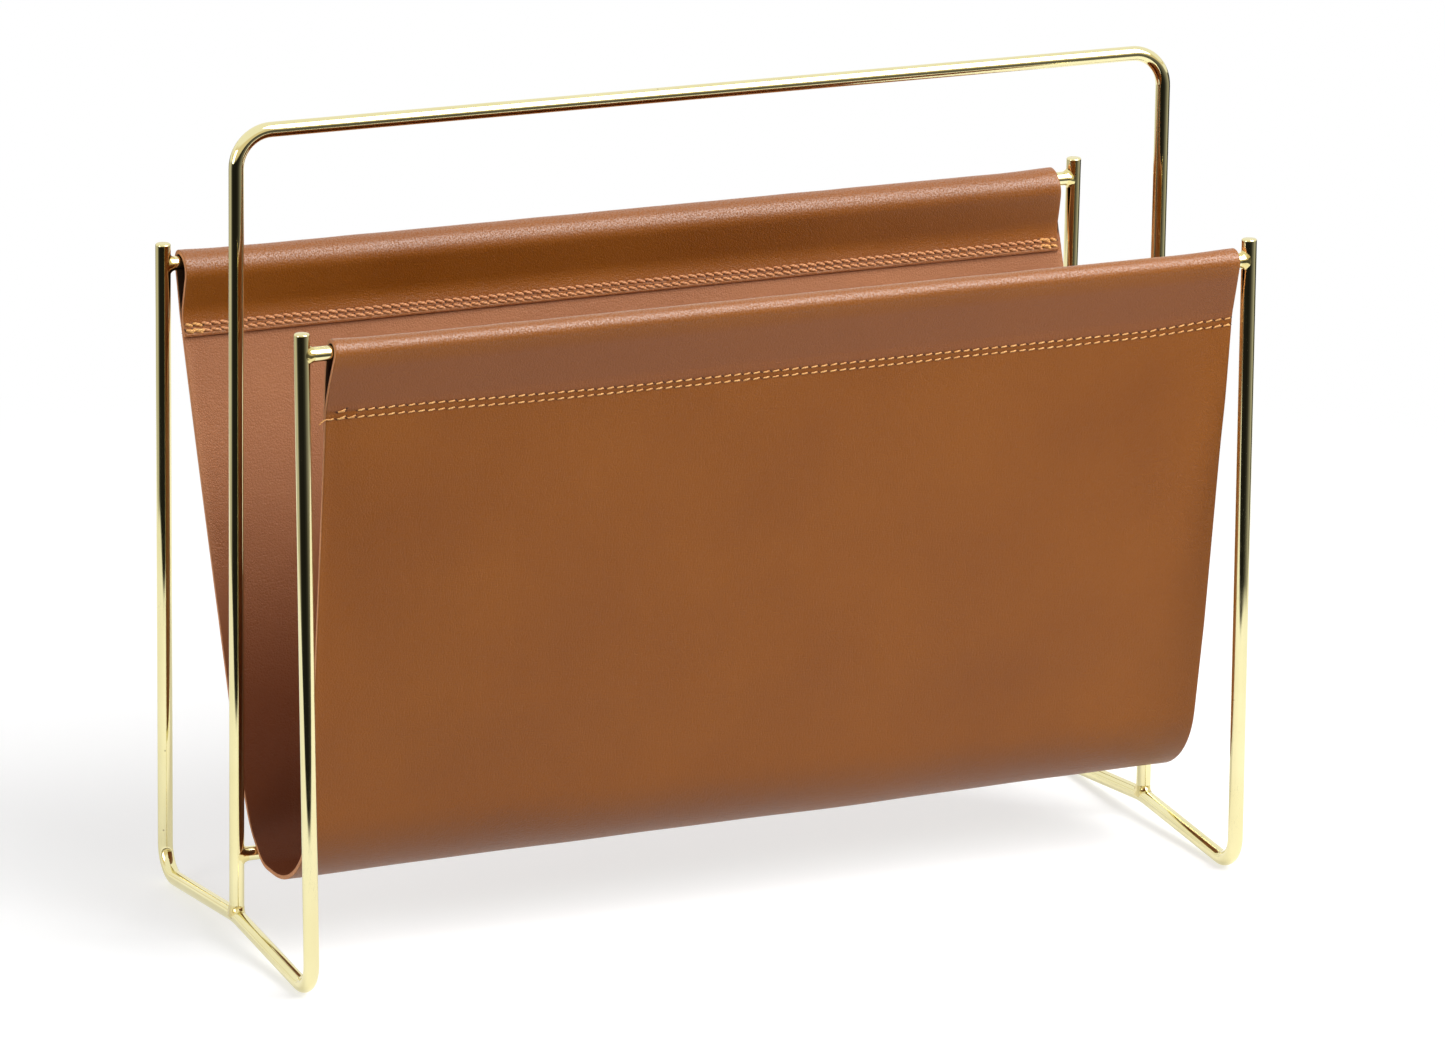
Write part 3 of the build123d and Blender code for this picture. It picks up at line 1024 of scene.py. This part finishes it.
def make_thread_tail():
    """The cut end of the lower row's thread, left hanging at the front left corner."""
    end = -SHEET_WIDTH / 2 + 0.2 * MM
    centre, out = shape_of_sheet(end, row_reach("front", "lower", "outer", end))
    out = Vector((0, out.x, out.y))
    spot = centre + out * (LEATHER / 2 + 0.15 * MM)
    bm = bmesh.new()
    thread_map = bm.loops.layers.uv.new("thread_map")
    seat = moved(spot + Vector((1.2 * MM, 0, 0.1 * MM))) @ Matrix.Rotation(-pi / 2, 4, "Y")
    made = bmesh.ops.create_circle(bm, cap_ends=True, radius=TAIL_THREAD, segments=8, matrix=seat)
    rim = bm.edges[:]
    reach_along = {vert: 0.0 for vert in made["verts"]}
    for i in range(TAIL_STEPS):
        droop = radians(7 if i < TAIL_STEPS - 1 else 2)
        fall = turn_about(spot + Vector((0, 0, -1.6 * MM)), Vector((0, -1, 0)), droop)
        rim = extend(bm, rim, fall @ moved((-0.28 * MM, 0, -0.05 * MM)))
        for vert in {vert for edge in rim for vert in edge.verts}:
            reach_along[vert] = (i + 1) / 5
    bmesh.ops.contextual_create(bm, geom=rim)
    face_outwards(bm)
    for face in bm.faces:
        for number, corner in enumerate(face.loops):
            corner[thread_map].uv = (reach_along[corner.vert], number / 8)
    return finished("front_lower_thread_tail", bm, "sling", "thread", thread)


# --- Studio ---

CAMERA_PLACE = (-1.24101, -2.72008, 1.00485)
CAMERA_TURN = radians(-24.659)
CAMERA_RISE = radians(15.866)
CAMERA_ROLL = radians(0.656)
CAMERA_LENS = 185.59
WHITE = (1, 1, 1, 1)


def make_camera():
    level = cos(CAMERA_RISE)
    back = Vector((sin(CAMERA_TURN) * level, -cos(CAMERA_TURN) * level, sin(CAMERA_RISE)))
    right = (-back).cross(Vector((0, 0, 1))).normalized()
    up = back.cross(right)
    tilt_in, tilt_out = cos(CAMERA_ROLL), sin(CAMERA_ROLL)
    right, up = right * tilt_in + up * tilt_out, up * tilt_in - right * tilt_out
    camera = to_scene("camera", bpy.data.cameras.new("camera"))
    camera.matrix_world = moved(CAMERA_PLACE) @ facing(right, up, back)
    camera.data.lens, camera.data.sensor_width = CAMERA_LENS, 36.0
    camera.data.clip_start, camera.data.clip_end = 0.1, 50.0
    bpy.context.scene.camera = camera


def seen_in_camera_or_gloss(tree):
    """1 for rays from the camera and for those that metal or glass sends on, and 1 for gloss alone."""
    rays = add(tree, "LightPath").outputs
    sent_on = calc(tree, "MAXIMUM", rays["Is Glossy Ray"], rays["Is Transmission Ray"])
    return calc(tree, "MAXIMUM", rays["Is Camera Ray"], sent_on), rays["Is Glossy Ray"]


def room_directions(tree, where):
    """How far ahead of the object and how far to its right a place or direction is."""
    axes = ((-0.417, -0.909, 0.0), (0.909, -0.417, 0.0))
    return [
        add(tree, "VectorMath", {0: where, 1: axis}, operation="DOT_PRODUCT").outputs["Value"]
        for axis in axes
    ]


def past_table_edge(tree, where):
    """1 past the white table's rounded front corners, where the unlit room starts."""
    ahead, right = room_directions(tree, where)
    over = calc(tree, "MAXIMUM", minus(tree, ahead, 0.06), 0.0)
    aside = calc(tree, "ABSOLUTE", plus(tree, right, 0.05))
    aside = calc(tree, "MAXIMUM", minus(tree, aside, 0.38), 0.0)
    squares = [calc(tree, "POWER", side, 2.0) for side in (over, aside)]
    return remap(tree, calc(tree, "SQRT", plus(tree, *squares)), 0.315, 0.365)


def mix_shaders(tree, share, first, second):
    return add(tree, "MixShader", {0: share, 1: first, 2: second}).outputs[0]


def shine(tree, kind, **feeds):
    return add(tree, kind, feeds).outputs[0]


def make_floor():
    bm = bmesh.new()
    bmesh.ops.create_grid(bm, x_segments=1, y_segments=1, size=8.0)
    bmesh.ops.translate(bm, verts=bm.verts[:], vec=(0, 0, -0.0002))
    floor = to_scene("studio_floor", to_mesh("studio_floor", bm))
    material, tree, shader = new_finish("white_table", (0.82, 0.82, 0.82, 1), Roughness=0.9)
    shader.inputs["Specular IOR Level"].default_value = 0.0
    where = on_object(tree)
    seen, gloss = seen_in_camera_or_gloss(tree)
    distance = add(tree, "VectorMath", {0: where}, operation="LENGTH").outputs["Value"]
    far = times(tree, remap(tree, distance, 0.30, 0.85, 0.4, 1.0), seen)
    lifted = minus(tree, times(tree, seen, 0.34), times(tree, gloss, 0.09))
    lift = shine(tree, "Emission", Strength=lifted)
    lit = add(tree, "AddShader", {0: shader.outputs[0], 1: lift}).outputs[0]
    # it sends less light back up at the object than it shows
    dim = shine(tree, "BsdfDiffuse", Color=(0.52, 0.52, 0.52, 1))
    lit = mix_shaders(tree, seen, dim, lit)
    faded = mix_shaders(tree, far, lit, shine(tree, "Emission", Strength=1.0))
    ended = times(tree, past_table_edge(tree, where), gloss)
    table = mix_shaders(tree, ended, faded, shine(tree, "BsdfTransparent"))
    tree.links.new(table, tree.nodes["Material Output"].inputs["Surface"])
    floor.data.materials.append(material)


# The room as polished metal shows it low down, by bearing from straight ahead of the object,
# turning right: black ahead, a pale wall on the left, a soft rise on the right, a dark flag behind
# each, white at the back.
ROOM_LEVELS = [
    (-180, 1.0), (-168, 1.0), (-162, 0.10), (-146, 0.14), (-132, 0.55), (-84, 0.60), (-66, 0.09),
    (-52, 0.015), (5, 0.012), (34, 0.034), (64, 0.19), (100, 0.50), (112, 0.06), (158, 0.05),
    (166, 1.0), (180, 1.0),
]


def make_world():
    world = bpy.data.worlds.new("studio")
    bpy.context.scene.world = world
    world.use_nodes = True
    tree = world.node_tree
    seen, gloss = seen_in_camera_or_gloss(tree)
    where = add(tree, "TexCoord").outputs["Generated"]
    height = add(tree, "SeparateXYZ", {0: where}).outputs["Z"]
    sky = remap(tree, height, 0.0, 0.7, 0.04, 0.28)
    level = shine(tree, "Background", Color=WHITE, Strength=sky)
    white = shine(tree, "Background", Color=WHITE, Strength=1.0)
    ahead, right = room_directions(tree, where)
    bearing = remap(tree, calc(tree, "ARCTAN2", right, ahead), -pi, pi, how="LINEAR")
    levels = add(tree, "ValToRGB", {"Fac": bearing})
    stops = levels.color_ramp.elements
    for degrees, strength in ROOM_LEVELS:
        place = (degrees + 180) / 360
        stop = stops.new(place) if 0 < place < 1 else stops[round(place) * (len(stops) - 1)]
        stop.color = (strength, strength * 0.97, strength * 0.9, 1)
    rising = remap(tree, height, -0.02, 0.10)
    walls = blend_colours(tree, rising, levels.outputs["Color"], (0.80, 0.70, 0.52, 1))
    room = shine(tree, "Background", Color=walls, Strength=1.0)
    # behind the object it is pale above the table, but for one dark line
    aside = calc(tree, "ABSOLUTE", minus(tree, bearing, 0.5))
    line = minus(tree, remap(tree, height, 0.15, 0.17), remap(tree, height, 0.20, 0.22))
    pale = times(tree, remap(tree, aside, 0.22, 0.26), remap(tree, height, -0.03, 0.01))
    pale_alone = minus(tree, pale, times(tree, line, pale))
    low = times(tree, remap(tree, height, 0.62, 0.42), gloss)
    low = times(tree, low, minus(tree, 1.0, pale_alone))
    lit = mix_shaders(tree, low, mix_shaders(tree, seen, level, white), room)
    tree.links.new(lit, tree.nodes["World Output"].inputs["Surface"])


def make_lamp(name, place, target, width, height, power):
    lamp = bpy.data.lights.new(name, "AREA")
    lamp.shape, lamp.size, lamp.size_y, lamp.energy = "RECTANGLE", width, height, power
    holder = to_scene(name, lamp)
    aim = (Vector(target) - Vector(place)).to_track_quat("-Z", "Y").to_matrix().to_4x4()
    holder.matrix_world = moved(place) @ aim
    return holder


def make_studio():
    make_floor()
    make_world()
    make_lamp("key_softbox", (0.92, -1.23, 1.76), (0, 0, 0.2), width=1.5, height=1.8, power=66.0)
    make_lamp("left_fill", (-2.3, -0.5, 0.8), (-0.2, 0, 0.15), width=1.0, height=1.0, power=13.0)
    rear = make_lamp("rear_fill", (0.5, 2.3, 1.1), (0, 0.1, 0.15), width=1.6, height=1.2, power=22.0)
    # kept off the metal, where it would show as a band
    rear.visible_glossy = False
    bpy.context.scene.view_settings.view_transform = "Standard"


make_camera()
make_frame()
sling = make_sling()
stitching = [make_stitch_row(hem_name, row) for hem_name, row in ROW_DROPS]
stitching.append(make_thread_tail())
make_studio()
